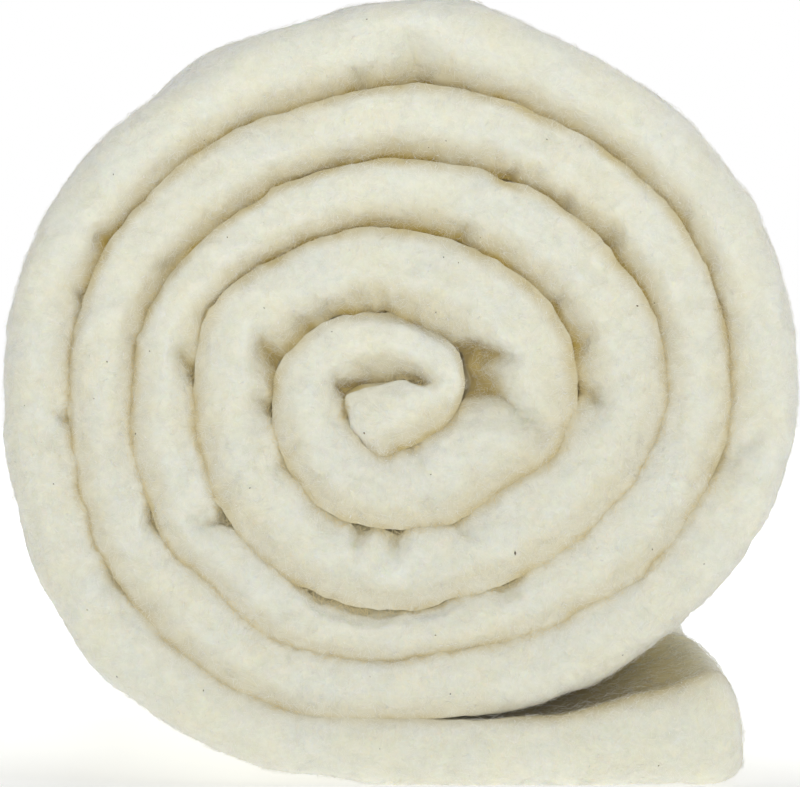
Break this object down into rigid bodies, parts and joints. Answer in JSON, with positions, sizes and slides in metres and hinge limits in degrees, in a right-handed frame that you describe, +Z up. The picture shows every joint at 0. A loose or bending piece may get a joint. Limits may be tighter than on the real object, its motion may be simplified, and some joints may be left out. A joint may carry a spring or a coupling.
{
  "type": "roll of quilt batting",
  "caption": "Loose roll of thick, soft cotton quilt batting, wound on itself, with its outer end lying on the floor as a tail that puffs up at its free end.",
  "frame": {"origin": "middle of the base of the bounding box, on the floor", "axes": "+Y along the roll from its front end to its back end, +X towards the side where the tail lies, +Z up"},
  "size_m": [0.1778, 0.5728, 0.1735],
  "materials": {
    "batting": "matt, fluffy needled cotton, natural cream white"
  },
  "bodies": {
    "root": {"batting": "batting"}
  },
  "joints": []
}
